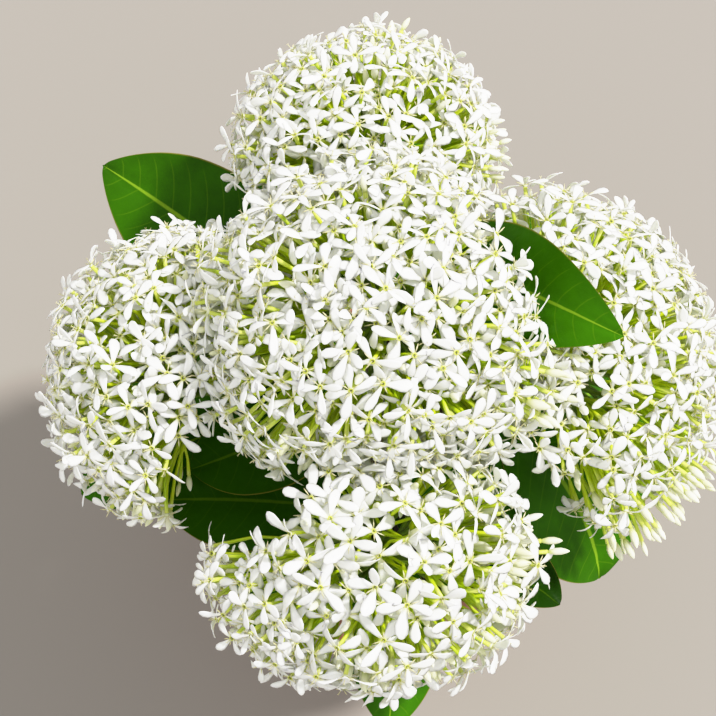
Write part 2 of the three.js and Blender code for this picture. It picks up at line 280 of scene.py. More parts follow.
def earth_finish():
    f = Finish("earth", 0.95)
    grain = f.ramp(f.noise(420, 5, 0.7), 0.3, 0.72)
    f.colour(f.mix(grain, (0.011, 0.007, 0.005), (0.060, 0.038, 0.024)))
    f.bump(f.noise(520, 5, 0.7), 0.0015, 1.0)
    return f.material


def clay_finish():
    f = Finish("clay", 0.86)
    tint = f.mix(f.ramp(f.noise(24, 5), 0.3, 0.7), (0.325, 0.099, 0.040), (0.435, 0.158, 0.075))
    speck = f.ramp(f.noise(900, 2), 0.66, 0.74)
    specked = f.mix(f.math("MULTIPLY", speck, 0.35), tint, (0.20, 0.075, 0.035))
    bloom = f.ramp(f.noise(38, 6, 0.65, stretch=(1, 1, 0.55)), 0.50, 0.74)
    worn = f.ramp("edge", 0.25, 1.0)
    salt = f.math("ADD", f.math("MULTIPLY", bloom, 0.34), f.math("MULTIPLY", worn, 0.28))
    f.colour(f.mix(salt, specked, (0.66, 0.50, 0.41)))
    rings = f.noise(60, 4, 0.6, stretch=(0.12, 0.12, 3.2))
    f.bump(f.math("ADD", rings, f.math("MULTIPLY", f.noise(700, 4, 0.7), 0.35)), 0.0009, 0.8)
    return f.material


def floor_finish():
    f = Finish("floor", 0.8)
    f.colour((0.256, 0.229, 0.204))
    return f.material


PETAL = petal_finish()
BUD = bud_finish()
TUBE = tube_finish()
THROAT = throat_finish()
ANTHER = anther_finish()
CYME = cyme_finish()
LEAF = leaf_finish()
STALK = stalk_finish()
YOUNG_BARK = young_bark_finish()
BARK = bark_finish()
EARTH = earth_finish()
CLAY = clay_finish()

floor_mesh = bpy.data.meshes.new("floor")
floor_mesh.from_pydata([(-5, -5, 0), (5, -5, 0), (5, 5, 0), (-5, 5, 0)], [], [(0, 1, 2, 3)])
floor_mesh.materials.append(floor_finish())
floor = add_object("floor", floor_mesh)


# ---- meshes ----


def unit(v):
    v = np.asarray(v, dtype=float)
    return v / np.linalg.norm(v, axis=-1, keepdims=True)


class Pool:
    """Closed bodies that are gathered into one piece, in millimetres."""

    def __init__(self):
        self.points = []
        self.faces = []
        self.marks = {}
        self.count = 0

    def add(self, points, faces, **marks):
        """points (n, 3), faces as lists of indices, marks one value for each point."""
        self.points.append(points)
        self.faces.extend([[i + self.count for i in face] for face in faces])
        for name, values in marks.items():
            self.marks.setdefault(name, []).append(values)
        self.count += len(points)

    def add_many(self, points, faces, **marks):
        """points (bodies, n, 3) that share one list of faces of any sizes. Returns the pool."""
        bodies, n, _ = points.shape
        starts = self.count + n * np.arange(bodies)
        for size in sorted({len(face) for face in faces}):
            block = np.array([face for face in faces if len(face) == size])
            every = block[None, :, :] + starts[:, None, None]
            self.faces.extend(every.reshape(-1, size).tolist())
        self.points.append(points.reshape(-1, 3))
        for name, values in marks.items():
            full = np.broadcast_to(values, (bodies, n)).reshape(-1)
            self.marks.setdefault(name, []).append(full)
        self.count += bodies * n
        return self

    def piece(self, name, material, slot, node):
        """One object, which is seen in place of the CAD node."""
        mesh = bpy.data.meshes.new(name)
        points = np.concatenate(self.points) * MM
        mesh.from_pydata(points.tolist(), [], self.faces)
        mesh.polygons.foreach_set("use_smooth", [True] * len(mesh.polygons))
        for mark, values in self.marks.items():
            layer = mesh.attributes.new(mark, "FLOAT", "POINT")
            layer.data.foreach_set("value", np.concatenate(values).astype(np.float32))
        mesh.materials.append(material)
        mesh.update()
        thing = add_object(name, mesh)
        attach(thing, "root")
        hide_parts(node)


def ring_faces(rings, sides, ends="flat"):
    """Faces between rings of points. The ends are flat, fans to two poles, which are the
    last two points, or joined to each other."""
    faces = []
    for i in range(rings if ends == "joined" else rings - 1):
        low, high = i * sides, (i + 1) % rings * sides
        for k in range(sides):
            n = (k + 1) % sides
            faces.append([low + k, low + n, high + n, high + k])
    last = (rings - 1) * sides
    if ends == "poles":
        first_pole, last_pole = rings * sides, rings * sides + 1
        for k in range(sides):
            n = (k + 1) % sides
            faces.append([first_pole, n, k])
            faces.append([last_pole, last + k, last + n])
    if ends == "flat":
        faces.append(list(range(sides))[::-1])
        faces.append([last + k for k in range(sides)])
    return faces


def round_angles(sides):
    return 2 * np.pi * np.arange(sides) / sides


def turned(levels, sides, point):
    """point(level, x, y) at each level, for each direction (x, y) round the upright axis."""
    ways = [(math.cos(a), math.sin(a)) for a in round_angles(sides)]
    return [point(level, x, y) for level in levels for x, y in ways]


def away_from(directions):
    """X for each steep direction and Z for the others, so never the direction itself."""
    steep = np.abs(directions[:, 2:3]) > 0.8
    return np.where(steep, [[1.0, 0.0, 0.0]], [[0.0, 0.0, 1.0]])


def circles(u, v, sides):
    """Directions round a circle, from each u towards its v."""
    angle = round_angles(sides)
    return u[..., None, :] * np.cos(angle)[:, None] + v[..., None, :] * np.sin(angle)[:, None]


def sweep(points, radii, sides):
    """Tubes through points (n, rings, 3): points and faces. radii are (rings) or (n, rings)."""
    points = np.asarray(points, dtype=float)
    count, rings, _ = points.shape
    tangent = unit(np.gradient(points, axis=1))
    whole = unit(points[:, -1] - points[:, 0])
    u = unit(np.cross(tangent, away_from(whole)[:, None, :]))
    circle = circles(u, np.cross(tangent, u), sides)
    radii = np.broadcast_to(radii, (count, rings))
    body = points[:, :, None, :] + circle * radii[:, :, None, None]
    return body.reshape(count, rings * sides, 3), ring_faces(rings, sides)


def bezier(a, b, c, t):
    """Quadratic curves from a over b to c, (n, 3) each, at shares t: (n, len(t), 3)."""
    t = np.asarray(t)[None, :, None]
    return (1 - t) ** 2 * a[:, None] + 2 * (1 - t) * t * b[:, None] + t**2 * c[:, None]


def tilted(directions, degrees):
    """The directions, each turned by a random angle of about that many degrees."""
    away = np_random.normal(size=directions.shape)
    away -= directions * np.sum(away * directions, axis=1, keepdims=True)
    turn = np.tan(np.radians(degrees)) * np.abs(np_random.normal(0.0, 0.75, (len(directions), 1)))
    return unit(directions + unit(away) * np.minimum(turn, 0.8))


def cad_mesh(node):
    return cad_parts[node].data


def cad_points(node):
    mesh = cad_mesh(node)
    points = np.empty(3 * len(mesh.vertices))
    mesh.vertices.foreach_get("co", points)
    return points.reshape(-1, 3) / MM


def tree_of(nodes):
    """One search tree of the CAD nodes' faces, in millimetres."""
    points, faces = [], []
    for node in nodes:
        start = len(points)
        points.extend(Vector(p) for p in cad_points(node))
        faces.extend([start + i for i in polygon.vertices] for polygon in cad_mesh(node).polygons)
    return BVHTree.FromPolygons(points, faces)


LEAF_NODES = sorted(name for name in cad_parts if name.startswith("leaf_"))
leaf_tree = tree_of(LEAF_NODES)


# ---- flower heads ----

# seed starts the head's own random draws. centre and radii are its ball in mm, and lean is
# the way its stalk points. size is its flowers' size, and broad widens their petals. flowers
# is the most open flowers, and spacing the least between two. rim_smaller is how much smaller
# they are at the rim, and spread_buds how many buds stand among them, for each flower.
# A place is the direction of its middle and the angle to its edge in degrees. buds are places
# with many buds: how many, and how far they stand out, as a share of the ball. thin are places
# with few flowers, where the tubes show, and clear are places with none. further are places
# where the flowers reach to another share of the ball than the CAD solid does. little are
# places with that many small, close flowers.
HEAD_DEFAULTS = {
    "broad": 1.0,
    "spacing": 5.7,
    "rim_smaller": 0.10,
    "spread_buds": 0.34,
    "thin": [],
    "clear": [],
    "further": [],
    "little": [],
}
HEADS = {
    "central": {
        "seed": 31,
        "centre": (0, 5, 270),
        "radii": (59, 56, 54),
        "lean": (0, -0.05, 1),
        "size": 1.0,
        "flowers": 465,
        "buds": [((0.87, -0.42, 0.18), 14, 16, 1.15), ((-0.35, -0.9, -0.1), 30, 14, 1.0)],
        "thin": [((0.0, 0.2, 1.0), 5)],
        "further": [
            ((-0.74, -0.64, -0.18), 30, 1.06),
            ((-0.98, 0.1, 0.1), 22, 1.05),
            ((-0.66, 0.713, 0.232), 20, 0.88),
        ],
    },
    "left": {
        "seed": 12,
        "centre": (-63.7, 0, 224),
        "radii": (52, 53, 52),
        "lean": (-0.42, 0, 0.91),
        "size": 0.95,
        "broad": 1.04,
        "flowers": 325,
        "buds": [((-0.3, -0.95, -0.1), 13, 9, 1.0)],
        "thin": [((0.35, -0.45, 0.9), 6)],
        "clear": [((0.72, -0.68, 0.138), 61)],
        "further": [((-0.95, -0.1, 0.0), 38, 0.95)],
    },
    "right": {
        "seed": 23,
        "centre": (56.3, 4.6, 225.4),
        "radii": (60, 64, 61),
        "lean": (0.42, 0, 0.91),
        "size": 0.94,
        "flowers": 395,
        "buds": [((0.60, -0.80, -0.04), 25, 46, 1.15), ((0.16, -0.9, 0.30), 12, 6, 1.0)],
        "thin": [((0.1, -0.75, 0.5), 8), ((0.15, -0.506, 0.845), 8)],
        "clear": [((-0.663, -0.733, -0.147), 59), ((0.12, -0.97, 0.2), 11)],
        "further": [((0.72, 0.65, 0.21), 50, 0.93)],
    },
    "back": {
        "seed": 34,
        "centre": (-5, 66.8, 248.6),
        "radii": (47, 47, 47),
        "lean": (0, 0.42, 0.91),
        "size": 0.9,
        "flowers": 350,
        "buds": [
            ((0.2, 0.5, 0.8), 18, 8, 1.0),
            ((0.90, 0.035, 0.379), 17, 16, 1.06),
            ((0.22, 0.93, 0.30), 9, 4, 1.1),
            ((0.44, 0.85, 0.28), 8, 3, 1.08),
        ],
        "thin": [
            ((0.19, 0.01, 0.98), 14),
            ((-0.075, 0.40, 0.913), 9),
            ((0.535, 0.004, 0.842), 11),
            ((-0.426, 0.259, 0.867), 8),
        ],
        "clear": [((-0.86, -0.445, -0.25), 33)],
    },
    "front": {
        "seed": 25,
        "centre": (-2.2, -59.9, 238),
        "radii": (54, 50, 51),
        "lean": (0, -0.42, 0.91),
        "size": 1.1,
        "broad": 1.14,
        "flowers": 165,
        "spacing": 6.5,
        "rim_smaller": 0.18,
        "spread_buds": 0.6,
        "buds": [
            ((0.95, -0.15, 0.1), 26, 18, 1.0),
            ((0.1, -0.98, 0.0), 26, 18, 1.0),
            ((1.0, 0.03, 0.1), 8, 3, 1.16),
        ],
        "thin": [((0.13, -0.684, 0.714), 19)],
        "further": [((-0.93, -0.34, -0.12), 34, 1.07), ((0.1, -0.95, -0.3), 34, 0.95)],
        "little": [((-0.85, -0.53, 0.0), 34, 72)],
    },
}
# A leaf rises beside the central head. The head's flowers stay behind a plane there,
# whose distance from the centre depends on how high they are in the camera's view.
CREASE_NORMAL = np.array([0.834, -0.039, -0.55])
CREASE_CAD = 27.7  # where the CAD solid ends
CREASE_VIEW_UP = np.array([0, 0.951, 0.309])
CREASE_HEIGHTS = [-0.20, -0.10, 0.06, 0.16, 0.37, 0.55]
CREASE_LIMITS = [54.0, 44.5, 28.0, 21.0, 13.0, 6.5]
OPEN_TO = math.radians(110)  # from the lean axis to the lowest flowers
GAP_SHARE = 0.75  # a head that reaches less than this has no flowers there
LEAF_ROOM = 2.5  # how far inside the reach a place is measured from the leaves
LITTLE_SPACING = 4.1
LITTLE_SIZE = 0.74
BUD_SPACING = 3.6
SPREAD_BUD_SPACING = 3.0
FLOWER_DEPTH = 8.5  # how deep a flower stands at most
HOLLOW_DEPTH = 3.0  # and where the head is hollowed
FLOWER_TILT = 30
BUD_TILT = 9

PETAL_LENGTH = 8.3
PETAL_WIDTH = 3.4
PETAL_THICK = 0.30
PETAL_START = 0.45  # from the middle of the flower
PETAL_RINGS = np.array([0.08, 0.32, 0.58, 0.79, 0.94])
PETAL_WIDTHS = np.array([0.29, 0.58, 0.96, 0.94, 0.48])
PETAL_SIDES = 6
THROAT_SIDES = 6
THROAT_RINGS = [(0.38, 0.10), (0.70, 0.37), (1.10, 0.10)]  # radius and height
ANTHER_LENGTH = 2.5
STYLE_LENGTH = 2.3
TUBE_RADIUS = 0.62


def in_places(way, places, ease=0.0):
    """Whether the way is in one of the places, by more than ease degrees."""
    return any(
        float(np.dot(way, unit(middle))) > math.cos(math.radians(edge - ease))
        for middle, edge, *_ in places
    )


class Head:
    """The shape of one head, from its CAD solid, and where its flowers and buds can be."""

    def __init__(self, name):
        self.name = name
        self.facts = {**HEAD_DEFAULTS, **HEADS[name]}
        self.centre = np.array(self.facts["centre"], dtype=float)
        self.radii = np.array(self.facts["radii"], dtype=float)
        self.radius = float(np.mean(self.radii))
        self.lean = unit(self.facts["lean"])
        self.tree = tree_of([f"flower_head_{name}"])

    def reach(self, way):
        """How far the flowers reach from the centre, and as a share of the ball."""
        hit = self.tree.ray_cast(Vector(self.centre), Vector(way))
        full = 1 / np.linalg.norm(way / self.radii)
        if hit[0] is None:
            return 0.0, 0.0
        distance = hit[3]
        changes = self.facts["further"] if distance > GAP_SHARE * full else []
        for middle, edge, share in changes:
            away = math.degrees(math.acos(min(1, float(np.dot(way, unit(middle))))))
            ease = np.interp(away, [0.6 * edge, edge], [1, 0])
            distance += ease * (full * share - distance)
        towards = float(np.dot(way, CREASE_NORMAL))
        if self.name == "central" and towards > 0:
            if abs(distance * towards - CREASE_CAD) < 0.6:
                distance = full
            height = float(np.dot(way, CREASE_VIEW_UP))
            distance = min(distance, np.interp(height, CREASE_HEIGHTS, CREASE_LIMITS) / towards)
        return distance, distance / full

    def below_rim(self, way, slack=0.0):
        return float(np.dot(way, self.lean)) < math.cos(OPEN_TO + slack)

    def within(self, kind, way, ease=0.0):
        return in_places(way, self.facts[kind], ease)

    def clear_of_leaves(self, way, distance, room):
        point = self.centre + way * (distance - LEAF_ROOM)
        return leaf_tree.find_nearest(Vector(point), room)[0] is None

    def open_here(self, way):
        """Whether an open flower can stand there, at random in places with few flowers."""
        if self.below_rim(way):
            return False
        distance, share = self.reach(way)
        if share < GAP_SHARE or self.within("clear", way, 7):
            return False
        # a few flowers stand at the edge of a clear place, which makes it uneven
        if self.within("clear", way) and np_random.random() > 0.3:
            return False
        if self.within("buds", way, 4) and np_random.random() < 0.9:
            return False
        if self.within("thin", way) and np_random.random() < 0.92:
            return False
        return self.clear_of_leaves(way, distance, 3.0)

    def bud_here(self, way):
        distance, share = self.reach(way)
        if self.below_rim(way, 0.12) or share < GAP_SHARE * 0.75:
            return False
        if self.within("clear", way, 5):
            return False
        return self.clear_of_leaves(way, distance, 2.5)

    def fork_here(self, way):
        if self.below_rim(way, 0.1) or self.reach(way)[1] < 0.5:
            return False
        return not self.within("clear", way, 4)

    def scattered(self, most, accept, spacing, tries, taken=()):
        """Random directions, at least the spacing in mm apart from each other and from taken."""
        near = math.cos(spacing / self.radius)
        kept = np.zeros((len(taken) + most, 3))
        count = start = len(taken)
        if start:
            kept[:start] = taken
        for way in unit(np_random.normal(size=(tries, 3))):
            if count and np.max(kept[:count] @ way) > near:
                continue
            if not accept(way):
                continue
            kept[count] = way
            count += 1
            if count == len(kept):
                break
        return kept[start:count]

    def gathered(self, place, accept, spacing, taken=()):
        """Random directions in the place, at most as many as it says."""
        inside = lambda d: in_places(d, [place]) and accept(d)
        return self.scattered(place[2], inside, spacing, tries=9000, taken=taken)

    def flowers(self):
        """The open flowers' directions, and their growth, which is less for the little ones."""
        size, little = self.facts["size"], self.facts["little"]
        found = self.scattered(
            self.facts["flowers"],
            lambda d: not in_places(d, little) and self.open_here(d),
            spacing=self.facts["spacing"] * size,
            tries=16000,
        )
        growth = np.ones(len(found))
        for place in little:
            close = self.gathered(place, self.open_here, LITTLE_SPACING * size, taken=found)
            found = np.concatenate([found, close])
            growth = np.concatenate([growth, np.full(len(close), LITTLE_SIZE)])
        return found, growth

    def buds(self, flowers):
        """The buds' directions, and how far out their tips are, as shares of the reach."""
        found, shares = [], []
        for place in self.facts["buds"]:
            close = self.gathered(place, self.bud_here, BUD_SPACING)
            found.extend(close)
            shares.extend(place[3] * np_random.uniform(0.92, 1.0, len(close)))
        most = int(self.facts["spread_buds"] * len(flowers))
        spread = self.scattered(most, self.bud_here, SPREAD_BUD_SPACING, tries=4000, taken=flowers)
        shares = np.concatenate([shares, np_random.uniform(0.84, 0.99, len(spread))])
        return np.concatenate([np.array(found), spread]), shares

    def piece(self, kind, pool, material, slot):
        pool.piece(f"{kind}_{self.name}", material, slot, f"flower_head_{self.name}")


def square_to(axes):
    """Two directions at right angles to each axis and to each other."""
    u = unit(np.cross(axes, away_from(axes)))
    return u, np.cross(axes, u)


def flower_frames(axes, spins):
    u, v = square_to(axes)
    cos, sin = np.cos(spins)[:, None], np.sin(spins)[:, None]
    return u * cos + v * sin, v * cos - u * sin


def petals(origins, axes, sizes, spins, openness, broad):
    """Four petals for each flower, each with its own size, slope, twist, cup and bend."""
    n = len(origins)
    u, v = square_to(axes)
    spread = spins[:, None] + np.pi / 2 * np.arange(4)[None, :]
    spread = spread + np_random.normal(0, 0.17, (n, 4))
    out = u[:, None] * np.cos(spread)[..., None] + v[:, None] * np.sin(spread)[..., None]
    out = out.reshape(-1, 3)
    up = np.repeat(axes, 4, axis=0)
    across = np.cross(up, out)
    count = 4 * n
    length = PETAL_LENGTH * np.repeat(sizes, 4) * np_random.uniform(0.84, 1.10, count)
    width = PETAL_WIDTH / 2 * broad * np.repeat(sizes, 4) * np_random.uniform(0.72, 1.14, count)
    lift = np.repeat(openness, 4) + np_random.normal(0, np.radians(13), count)
    fall = lift - np.radians(16) - np.abs(np_random.normal(0, np.radians(26), count))
    twist = np_random.normal(0, np.radians(24), count)
    cup = np_random.normal(0.14, 0.16, count)
    bend = np_random.normal(0, 0.12, count)

    # a petal slopes up by lift at its foot and by fall at its tip
    turn = (fall - lift)[:, None]

    def curl(slope):
        """How far out and how high the petal is where it has this slope."""
        far = length[:, None] * (np.sin(slope) - np.sin(lift)[:, None]) / turn + PETAL_START
        return far, length[:, None] * (np.cos(lift)[:, None] - np.cos(slope)) / turn

    s = PETAL_RINGS[None, :]
    slope = lift[:, None] + turn * s
    x, z = curl(slope)
    y = length[:, None] * bend[:, None] * s**2
    level = twist[:, None] * s
    phi = round_angles(PETAL_SIDES)
    half = width[:, None, None] * PETAL_WIDTHS[None, :, None] * np.cos(phi)
    thick = PETAL_THICK / 2 * np.sin(phi) * np.ones_like(half)
    raised = thick + cup[:, None, None] * np.abs(half)
    # the section's side and normal, tilted by the slope and rolled by the twist
    side_part = half * np.cos(level)[..., None] - raised * np.sin(level)[..., None]
    normal_part = half * np.sin(level)[..., None] + raised * np.cos(level)[..., None]
    px = x[..., None] - np.sin(slope)[..., None] * normal_part
    pz = z[..., None] + np.cos(slope)[..., None] * normal_part
    py = y[..., None] + side_part
    rings = np.stack([px, py, pz], axis=-1).reshape(count, -1, 3)
    foot = np.stack([np.full(count, 0.2), np.zeros(count), np.full(count, -0.1)], axis=-1)
    tip_x, tip_z = curl(fall[:, None])
    tip = np.stack([tip_x[:, 0], length * bend, tip_z[:, 0]], axis=-1)
    local = np.concatenate([rings, foot[:, None], tip[:, None]], axis=1)
    basis = np.stack([out, across, up], axis=1)
    placed = np.einsum("nki,nij->nkj", local, basis) + np.repeat(origins, 4, axis=0)[:, None]
    along = np.concatenate([np.repeat(PETAL_RINGS, PETAL_SIDES), [0.0, 1.0]])
    tone = np.repeat(np_random.uniform(0, 1, n), 4)[:, None]
    # the rings go along +x and round from +y to +z, so their faces are turned to face out
    faces = [face[::-1] for face in ring_faces(len(PETAL_RINGS), PETAL_SIDES, "poles")]
    return Pool().add_many(placed, faces, along=along, tone=tone)


def throats(origins, axes, spins):
    """A shallow cup at the middle of each flower, with painted shade dark inside a yellow-green
    ring, where the tube opens.
    """
    circle = circles(*flower_frames(axes, spins), THROAT_SIDES)
    rings = [
        origins[:, None] + circle * radius + axes[:, None] * height
        for radius, height in THROAT_RINGS
    ]
    low = origins + axes * -0.05
    foot = origins - axes * 0.9
    points = np.concatenate([*rings, low[:, None], foot[:, None]], axis=1)
    along = np.concatenate([np.repeat([0.3, 0.75, 1.0], THROAT_SIDES), [0.0, 1.0]])
    faces = [face[::-1] for face in ring_faces(len(THROAT_RINGS), THROAT_SIDES, "poles")]
    return Pool().add_many(points, faces, along=along)


def stamens(origins, axes, spins, sizes):
    """Four slender anthers between the petals, and a forked style."""
    pool = Pool()
    n = len(origins)
    out, across = flower_frames(axes, spins + np.pi / 4)
    shares = np.array([0.0, 0.55, 1.0])
    length = ANTHER_LENGTH * sizes[:, None]
    for k in range(4):
        angle = k * np.pi / 2 + np_random.normal(0, 0.22, n)[:, None]
        way = out * np.cos(angle) + across * np.sin(angle)
        way = unit(way + axes * np_random.uniform(-0.05, 0.5, (n, 1)))
        start = origins + way * 0.85 + axes * 0.2
        centre = start[:, None] + way[:, None] * (length[:, None] * shares[:, None])
        pool.add_many(*sweep(centre, [0.10, 0.24, 0.08], 3))
    bent = unit(axes + np_random.normal(0, 0.16, axes.shape))
    tip = origins + bent * STYLE_LENGTH
    stem = np.stack([origins - axes * 0.3, tip], axis=1)
    pool.add_many(*sweep(stem, [0.13, 0.16], 3))
    for sign in (1, -1):
        fork = np.stack([tip - bent * 0.1, tip + bent * 0.45 + out * 0.35 * sign], axis=1)
        pool.add_many(*sweep(fork, [0.14, 0.08], 3))
    return pool


def tubes(starts, ends, axes, tones):
    """Thin tubes from the cyme to the flowers, which end along the flowers' axes."""
    gap = np.linalg.norm(ends - starts, axis=1, keepdims=True)
    middle = ends - axes * gap * 0.5
    shares = np.array([0.0, 0.08, 0.18, 0.58, 1.0])
    centre = bezier(starts, middle, ends, shares)
    profile = np.array([0.75, 1.50, 0.88, 0.84, 1.20]) * TUBE_RADIUS
    points, faces = sweep(centre, profile, 5)
    return Pool().add_many(points, faces, along=np.repeat(shares, 5), tone=tones[:, None])


def closed_buds(origins, axes, lengths, tones):
    """Slender, slightly bent buds."""
    shares = np.array([0.0, 0.14, 0.36, 0.62, 0.84, 0.97])
    profile = np.array([0.30, 0.62, 0.98, 1.0, 0.62, 0.18])
    bent = unit(axes + np_random.normal(0, 0.07, axes.shape))
    reach = shares[:, None] * lengths[:, None, None]
    centre = origins[:, None] + axes[:, None] * reach * (1 - shares[:, None])
    centre = centre + bent[:, None] * reach * shares[:, None]
    width = lengths * np_random.uniform(0.145, 0.18, len(lengths))
    points, faces = sweep(centre, width[:, None] * profile, 7)
    return Pool().add_many(points, faces, along=np.repeat(shares, 7), tone=tones[:, None])


def build_cyme(head):
    """A main stem, branches to the knots and forks from them. Returns the directions and the
    places of the forks' ends, where the flowers' tubes start."""
    foot = head.centre - head.lean * head.radius * 0.5
    crown = head.centre - head.lean * head.radius * 0.26
    forks = head.scattered(70, head.fork_here, spacing=14, tries=2500)
    knots = head.scattered(14, lambda d: float(np.dot(d, head.lean)) > -0.25, spacing=34, tries=900)
    fork_reach = np.array([min(head.reach(d)[0], head.radius) for d in forks])
    fork_place = head.centre + forks * (fork_reach * 0.44)[:, None]
    knot_place = head.centre + knots * head.radius * 0.14
    nearest = np.argmax(forks @ knots.T, axis=1)

    cyme = Pool()
    stem = np.stack([foot - head.lean * 0.4, (foot + crown) / 2, crown], axis=0)[None]
    cyme.add_many(*sweep(stem, [1.75, 1.9, 2.1], 10))
    shares = np.linspace(0, 1, 5)
    base = np.repeat(crown[None], len(knots), axis=0)
    branch = bezier(base, (base + knot_place) / 2 + head.lean * 2, knot_place, shares)
    cyme.add_many(*sweep(branch, [1.6, 1.35, 1.2, 1.15, 1.25], 8))
    start = knot_place[nearest]
    fork = bezier(start, (start + fork_place) / 2 + knots[nearest] * 2.5, fork_place, shares)
    cyme.add_many(*sweep(fork, [1.1, 0.8, 0.72, 0.72, 1.0], 6))
    head.piece("cyme", cyme, CYME, "stalk_green")
    return forks, fork_place


def build_head(name):
    head = Head(name)
    flowers, growth = head.flowers()
    buds, bud_share = head.buds(flowers)

    n = len(flowers)
    reach, share = np.array([head.reach(d) for d in flowers]).T
    most = np.where(share > 0.93, FLOWER_DEPTH, HOLLOW_DEPTH)
    depth = np_random.uniform(0.0, 1.0, n) ** 1.4 * most
    throat = head.centre + flowers * (reach - 1.2 - depth)[:, None]
    # the small flowers at the rim turn their faces up
    faced = unit(flowers + (growth < 1)[:, None] * np.array([0, -0.15, 0.55]))
    axes = tilted(faced, FLOWER_TILT)
    spins = np_random.uniform(0, 2 * np.pi, n)
    sizes = head.facts["size"] * growth * np_random.uniform(0.90, 1.08, n)
    at_rim = np.clip(1 - flowers @ head.lean, 0, 1.3)
    sizes = sizes * (1.06 - head.facts["rim_smaller"] * at_rim)
    openness = np.radians(np_random.normal(18, 17, n))
    white = petals(throat, axes, sizes, spins, openness, head.facts["broad"])
    head.piece("petals", white, PETAL, "petal_white")
    head.piece("throats", throats(throat, axes, spins), THROAT, "stalk_green")
    head.piece("stamens", stamens(throat, axes, spins, sizes), ANTHER, "petal_white")

    bud_reach = np.array([head.reach(d)[0] for d in buds])
    bud_length = head.facts["size"] * np_random.uniform(5.6, 8.6, len(buds))
    bud_foot = head.centre + buds * (bud_reach * bud_share - bud_length)[:, None]
    bud_axes = tilted(buds, BUD_TILT)
    bud_tone = np_random.uniform(0, 1, len(buds))
    closed = closed_buds(bud_foot, bud_axes, bud_length, bud_tone)
    head.piece("buds", closed, BUD, "petal_white")

    forks, fork_place = build_cyme(head)
    ends = np.concatenate([throat - axes * 0.5, bud_foot + bud_axes * 0.3])
    where = np.concatenate([flowers, buds])
    starts = fork_place[np.argmax(where @ forks.T, axis=1)]
    starts = starts + np_random.normal(0, 0.8, starts.shape)
    tone = np_random.uniform(0, 1, len(ends))
    thin = tubes(starts, ends, np.concatenate([axes, bud_axes]), tone)
    head.piece("flower_tubes", thin, TUBE, "stalk_green")


for head_name in HEADS:
    np_random = np.random.default_rng(HEADS[head_name]["seed"])
    build_head(head_name)


# ---- leaves ----

LEAF_STATIONS = 46
LEAF_ACROSS = 18  # strips across the upper side
PETIOLE_SHARE = 0.075
PETIOLE_RADIUS = 1.7
VEIN_SPACING = 7.2
TIP_SHARE = 0.24  # the part of a leaf that narrows to its tip
LEAF_POINT = 0.2  # how pointed a leaf's tip is, lower is blunter
LEAF_POINTS = {"leaf_right_1": 0.12, "leaf_front_2": 0.1}
# how light a leaf is painted for the light and shade on it: 1 is the lightest, and a leaf below
# -0.4 gets the deep green of painted shade
LEAF_PAINTED_LIGHT_AND_SHADE = {
    "leaf_central_1": 0.12,
    "leaf_central_3": -0.3,
    "leaf_front_1": -0.3,
    "leaf_front_2": -1.0,
    "leaf_back_1": 0.55,
    "leaf_right_1": 0.35,
}


def leaf_rings(node):
    """The CAD leaf's eight-sided rings from foot to tip, and its two end points."""
    points = cad_points(node)
    keys = {}
    rounded = np.round(points, 3).tolist()
    welded = np.array([keys.setdefault(tuple(p), len(keys)) for p in rounded])
    place = np.array(list(keys))
    links = [set() for _ in place]
    for polygon in cad_mesh(node).polygons:
        corners = [welded[i] for i in polygon.vertices]
        for a, b in zip(corners, corners[1:] + corners[:1]):
            if a != b:
                links[a].add(b)
                links[b].add(a)
    first = next(i for i, near in enumerate(links) if len(near) == 8 and is_pole(i, links))
    levels, seen = [[first]], {first}
    while True:
        ring = {j for i in levels[-1] for j in links[i]} - seen
        if not ring:
            break
        seen |= ring
        levels.append(sorted(ring))
    rings = [place[level] for level in levels]
    width = [np.ptp(ring, axis=0).max() for ring in (rings[1], rings[-2])]
    return rings if width[0] < width[1] else rings[::-1]


def is_pole(i, links):
    """A point is an end of the leaf if its neighbours make one closed ring."""
    around = links[i]
    return all(len(links[j] & around) == 2 for j in around)


def leaf_frames(node):
    """Midrib, left edge and right edge at each ring of the CAD leaf, foot and tip first
    and last."""
    rings = leaf_rings(node)
    middle, left, right = [rings[0][0]], [rings[0][0]], [rings[0][0]]
    for ring in rings[1:-1]:
        apart = np.linalg.norm(ring[:, None] - ring[None], axis=2)
        a, b = np.unravel_index(np.argmax(apart), apart.shape)
        rest = [i for i in range(len(ring)) if i not in (a, b)]
        rest.sort(key=lambda i: abs(apart[i, a] - apart[i, b]))
        middle.append(ring[rest[:2]].mean(axis=0))
        if len(left) > 1 and np.dot(ring[a] - ring[b], left[-1] - right[-1]) < 0:
            a, b = b, a
        left.append(ring[a])
        right.append(ring[b])
    for line in (middle, left, right):
        line.append(rings[-1][0])
    middle, left, right = np.array(middle), np.array(left), np.array(right)
    along = np.gradient(middle, axis=0)
    normal = np.cross(along, left - right)
    if normal[:, 2].sum() < 0:
        left, right = right, left
    return middle, left, right


def smooth_line(values, at):
    """A smooth curve through evenly spaced values, read at shares from 0 to 1."""
    n = len(values) - 1
    padded = np.concatenate([[2 * values[0] - values[1]], values, [2 * values[-1] - values[-2]]])
    where = np.clip(np.asarray(at) * n, 0, n - 1e-9)
    i = where.astype(int)
    t = (where - i)[:, None]
    a, b, c, d = padded[i], padded[i + 1], padded[i + 2], padded[i + 3]
    return 0.5 * (
        2 * b + (c - a) * t + (2 * a - 5 * b + 4 * c - d) * t**2 + (3 * b - a - 3 * c + d) * t**3
    )


def over_and_under(values):
    """Values across the upper side of each station, and back across its lower side."""
    return np.concatenate([values, values[:, 1:-1][:, ::-1]], axis=1).reshape(-1)


